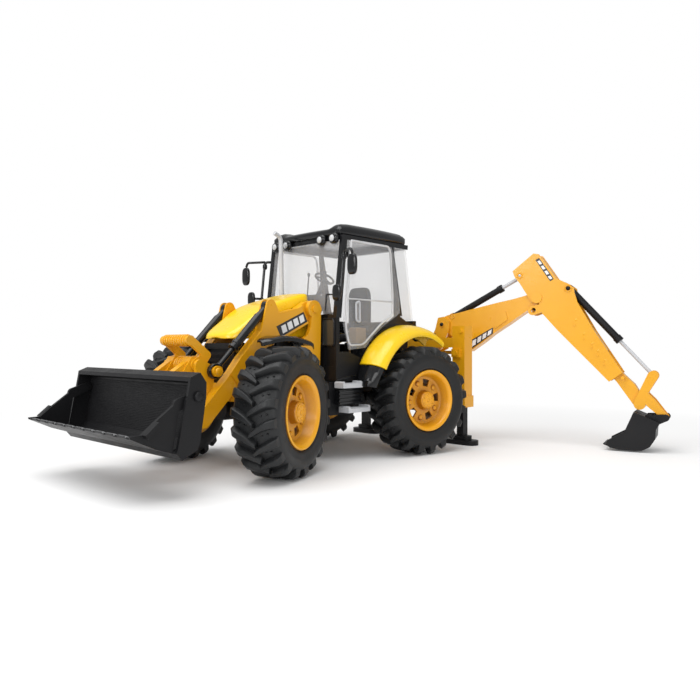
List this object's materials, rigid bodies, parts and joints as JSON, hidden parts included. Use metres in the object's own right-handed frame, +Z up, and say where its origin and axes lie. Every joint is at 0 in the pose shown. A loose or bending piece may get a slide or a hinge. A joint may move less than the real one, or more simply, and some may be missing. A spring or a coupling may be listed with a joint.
{
  "type": "toy backhoe loader",
  "caption": "Toy backhoe loader with a clam bucket at the nose, a glazed cab, steered wheels, stabiliser legs and a swinging digging arm.",
  "frame": {"origin": "on the ground under the middle of the bounding box in the rest pose", "axes": "+X towards the loader bucket, +Y towards the machine's left side, +Z up"},
  "size_m": [0.4503, 0.3244, 0.198],
  "materials": {
    "yellow_plastic": "satin moulded plastic",
    "black_plastic": "fine grained moulded plastic",
    "gloss_black": "glossy moulded plastic",
    "dark_grey_plastic": "matte moulded plastic",
    "silver_plastic": "silver coloured plastic",
    "clear_plastic": "clear moulded plastic",
    "tyre_rubber": "soft moulded rubber"
  },
  "bodies": {
    "base": {"chassis_frame": "black_plastic", "front_frame": "yellow_plastic", "engine_block": "black_plastic", "radiator_grille": "black_plastic", "exhaust_pipe": "silver_plastic", "loader_tower_left": "yellow_plastic", "loader_tower_right": "yellow_plastic", "cab_body": "black_plastic", "cab_frame": "black_plastic", "cab_windows": "clear_plastic", "cab_roof": "gloss_black", "roof_lights": "clear_plastic", "dashboard": "black_plastic", "cab_steps": "silver_plastic", "mirrors": "black_plastic", "rear_fender_left": "yellow_plastic", "rear_fender_right": "yellow_plastic", "mudguards": "black_plastic", "rear_frame": "yellow_plastic", "front_axle": "black_plastic", "rear_axle": "black_plastic"},
    "hood": {"hood": "yellow_plastic"},
    "steering_wheel": {"steering_wheel": "black_plastic"},
    "seat": {"driver_seat": "dark_grey_plastic"},
    "left_door": {"door_left": "clear_plastic"},
    "right_door": {"door_right": "clear_plastic"},
    "front_left_steering_knuckle": {"front_left_knuckle": "black_plastic"},
    "front_left_wheel": {"front_left_rim": "yellow_plastic", "front_left_tyre": "tyre_rubber"},
    "front_right_steering_knuckle": {"front_right_knuckle": "black_plastic"},
    "front_right_wheel": {"front_right_rim": "yellow_plastic", "front_right_tyre": "tyre_rubber"},
    "rear_left_steering_knuckle": {"rear_left_knuckle": "black_plastic"},
    "rear_left_wheel": {"rear_left_rim": "yellow_plastic", "rear_left_tyre": "tyre_rubber"},
    "rear_right_steering_knuckle": {"rear_right_knuckle": "black_plastic"},
    "rear_right_wheel": {"rear_right_rim": "yellow_plastic", "rear_right_tyre": "tyre_rubber"},
    "loader_arms": {"loader_arm_left": "yellow_plastic", "loader_arm_right": "yellow_plastic", "loader_cross_tube": "yellow_plastic"},
    "tilt_lever": {"tilt_lever": "black_plastic"},
    "tilt_link": {"tilt_link": "yellow_plastic"},
    "loader_bucket": {"bucket_back": "black_plastic"},
    "bucket_clam": {"bucket_clam": "black_plastic"},
    "tilt_ram_barrels": {"tilt_ram_barrels": "black_plastic"},
    "tilt_ram_rods": {"tilt_ram_rods": "black_plastic"},
    "left_stabiliser": {"stabiliser_leg_left": "black_plastic"},
    "right_stabiliser": {"stabiliser_leg_right": "black_plastic"},
    "carriage": {"shift_carriage": "black_plastic"},
    "swing_post": {"swing_post": "yellow_plastic"},
    "boom": {"boom": "yellow_plastic"},
    "dipper": {"dipper": "yellow_plastic"},
    "sliding_arm": {"sliding_arm": "yellow_plastic"},
    "dipper_ram_barrel": {"dipper_ram_barrel": "black_plastic"},
    "dipper_ram_rod": {"dipper_ram_rod": "silver_plastic"},
    "hoe_ram_barrel": {"hoe_ram_barrel": "black_plastic"},
    "hoe_ram_rod": {"hoe_ram_rod": "silver_plastic"},
    "digging_bucket": {"hoe_lever": "yellow_plastic", "hoe_bucket": "black_plastic"}
  },
  "joints": [
    {"name": "front_left_steer", "type": "hinge", "parent": "base", "child": "front_left_steering_knuckle", "pos_m": [0.1016, -0.0035, 0.0475], "axis": [0, 0, 1], "range_deg": [-41.8, 0]},
    {"name": "front_left_roll", "type": "hinge", "parent": "front_left_steering_knuckle", "child": "front_left_wheel", "pos_m": [0.1016, -0.0035, 0.0475], "axis": [-0.3567, 0.9342, 0], "continuous": true},
    {"name": "front_right_steer", "type": "hinge", "parent": "base", "child": "front_right_steering_knuckle", "pos_m": [0.1016, -0.1295, 0.0475], "axis": [0, 0, 1], "range_deg": [-41.8, 0]},
    {"name": "front_right_roll", "type": "hinge", "parent": "front_right_steering_knuckle", "child": "front_right_wheel", "pos_m": [0.1016, -0.1295, 0.0475], "axis": [0.3567, -0.9342, 0], "continuous": true},
    {"name": "rear_left_steer", "type": "hinge", "parent": "base", "child": "rear_left_steering_knuckle", "pos_m": [-0.0546, -0.0035, 0.0475], "axis": [0, 0, 1], "range_deg": [-0.5, 21.5]},
    {"name": "rear_left_roll", "type": "hinge", "parent": "rear_left_steering_knuckle", "child": "rear_left_wheel", "pos_m": [-0.0546, -0.0035, 0.0475], "axis": [0.1822, 0.9833, 0], "continuous": true},
    {"name": "rear_right_steer", "type": "hinge", "parent": "base", "child": "rear_right_steering_knuckle", "pos_m": [-0.0546, -0.1295, 0.0475], "axis": [0, 0, 1], "range_deg": [-0.5, 21.5]},
    {"name": "rear_right_roll", "type": "hinge", "parent": "rear_right_steering_knuckle", "child": "rear_right_wheel", "pos_m": [-0.0546, -0.1295, 0.0475], "axis": [-0.1822, -0.9833, 0], "continuous": true},
    {"name": "hood_lift", "type": "hinge", "parent": "base", "child": "hood", "pos_m": [0.0354, -0.0665, 0.1384], "axis": [0, -1, 0], "range_deg": [0, 50]},
    {"name": "steering_wheel_turn", "type": "hinge", "parent": "base", "child": "steering_wheel", "pos_m": [-0.0016, -0.0665, 0.1544], "axis": [-0.4735, 0, 0.8808], "continuous": true},
    {"name": "seat_turn", "type": "hinge", "parent": "base", "child": "seat", "pos_m": [-0.035, -0.0665, 0.098], "axis": [0, 0, 1], "range_deg": [0, 180]},
    {"name": "left_door_open", "type": "hinge", "parent": "base", "child": "left_door", "pos_m": [-0.0484, -0.0189, 0.136], "axis": [0.1961, 0, 0.9806], "range_deg": [0, 75]},
    {"name": "right_door_open", "type": "hinge", "parent": "base", "child": "right_door", "pos_m": [-0.0484, -0.1141, 0.136], "axis": [-0.1961, 0, -0.9806], "range_deg": [0, 75]},
    {"name": "loader_lift", "type": "hinge", "parent": "base", "child": "loader_arms", "pos_m": [0.04, -0.0665, 0.125], "axis": [0, -1, 0], "range_deg": [-6, 45]},
    {"name": "bucket_tilt", "type": "hinge", "parent": "loader_arms", "child": "tilt_lever", "pos_m": [0.139, -0.0665, 0.053], "axis": [0, 1, 0], "range_deg": [-5, 50]},
    {"name": "tilt_link_hinge", "type": "hinge", "parent": "tilt_lever", "child": "tilt_link", "pos_m": [0.142, -0.0665, 0.081], "axis": [0, 1, 0], "range_deg": [-50, 5]},
    {"name": "bucket_hinge", "type": "hinge", "parent": "loader_arms", "child": "loader_bucket", "pos_m": [0.157, -0.0665, 0.043], "axis": [0, 1, 0], "range_deg": [-5, 50]},
    {"name": "tilt_ram_swing", "type": "hinge", "parent": "loader_arms", "child": "tilt_ram_barrels", "pos_m": [0.086, -0.0665, 0.1255], "axis": [0, 1, 0], "range_deg": [-9, 1]},
    {"name": "tilt_ram_stroke", "type": "slide", "parent": "tilt_ram_barrels", "child": "tilt_ram_rods", "axis": [0.696, 0, -0.718], "range_m": [-0.0018, 0.0168]},
    {"name": "bucket_clam_open", "type": "hinge", "parent": "loader_bucket", "child": "bucket_clam", "pos_m": [0.1815, -0.0665, 0.0635], "axis": [0, -1, 0], "range_deg": [0, 50]},
    {"name": "left_stabiliser_raise", "type": "slide", "parent": "base", "child": "left_stabiliser", "axis": [0, 0, 1], "range_m": [0, 0.027]},
    {"name": "right_stabiliser_raise", "type": "slide", "parent": "base", "child": "right_stabiliser", "axis": [0, 0, 1], "range_m": [0, 0.027]},
    {"name": "backhoe_shift", "type": "slide", "parent": "base", "child": "carriage", "axis": [0, 1, 0], "range_m": [-0.025, 0.025]},
    {"name": "backhoe_swing", "type": "hinge", "parent": "carriage", "child": "swing_post", "pos_m": [-0.151, -0.0665, 0.093], "axis": [0, 0, 1], "range_deg": [-5, 150]},
    {"name": "boom_lift", "type": "hinge", "parent": "swing_post", "child": "boom", "pos_m": [-0.1568, -0.04486, 0.117], "axis": [0.9659, 0.2588, 0], "range_deg": [0, 45]},
    {"name": "dipper_swing", "type": "hinge", "parent": "boom", "child": "dipper", "pos_m": [-0.18164, 0.04787, 0.1414], "axis": [0.9659, 0.2588, 0], "range_deg": [0, 45]},
    {"name": "dipper_ram_swing", "type": "hinge", "parent": "boom", "child": "dipper_ram_barrel", "pos_m": [-0.15928, -0.03559, 0.1255], "axis": [0.9659, 0.2588, 0], "range_deg": [-8.5, 0.5]},
    {"name": "dipper_ram_stroke", "type": "slide", "parent": "dipper_ram_barrel", "child": "dipper_ram_rod", "axis": [-0.2277, 0.85, 0.4751], "range_m": [-0.0185, 0.0005]},
    {"name": "dipper_extend", "type": "slide", "parent": "dipper", "child": "sliding_arm", "axis": [-0.173, 0.6456, -0.7438], "range_m": [0, 0.012]},
    {"name": "digging_bucket_curl", "type": "hinge", "parent": "sliding_arm", "child": "digging_bucket", "pos_m": [-0.20525, 0.13596, 0.0425], "axis": [0.9659, 0.2588, 0], "range_deg": [-5, 28]},
    {"name": "hoe_ram_swing", "type": "hinge", "parent": "dipper", "child": "hoe_ram_barrel", "pos_m": [-0.18923, 0.07617, 0.1491], "axis": [0.9659, 0.2588, 0], "range_deg": [-5, 1]},
    {"name": "hoe_ram_eye", "type": "hinge", "parent": "digging_bucket", "child": "hoe_ram_rod", "pos_m": [-0.20804, 0.14639, 0.0682], "axis": [0.9659, 0.2588, 0], "range_deg": [-33, 6]}
  ],
  "couplings": [
    {"joint": "front_right_steer", "follows": "front_left_steer", "ratio": 1},
    {"joint": "rear_right_steer", "follows": "rear_left_steer", "ratio": 1},
    {"joint": "tilt_link_hinge", "follows": "bucket_tilt", "ratio": -1},
    {"joint": "bucket_hinge", "follows": "bucket_tilt", "ratio": 1},
    {"joint": "tilt_ram_swing", "follows": "bucket_tilt", "ratio": -0.1763},
    {"joint": "tilt_ram_stroke", "follows": "bucket_tilt", "m_per_rad": 0.019087},
    {"joint": "dipper_ram_swing", "follows": "dipper_swing", "ratio": -0.1828},
    {"joint": "dipper_ram_stroke", "follows": "dipper_swing", "m_per_rad": -0.022907},
    {"joint": "hoe_ram_swing", "follows": "digging_bucket_curl", "ratio": -0.1595},
    {"joint": "hoe_ram_eye", "follows": "digging_bucket_curl", "ratio": -1.1595}
  ]
}
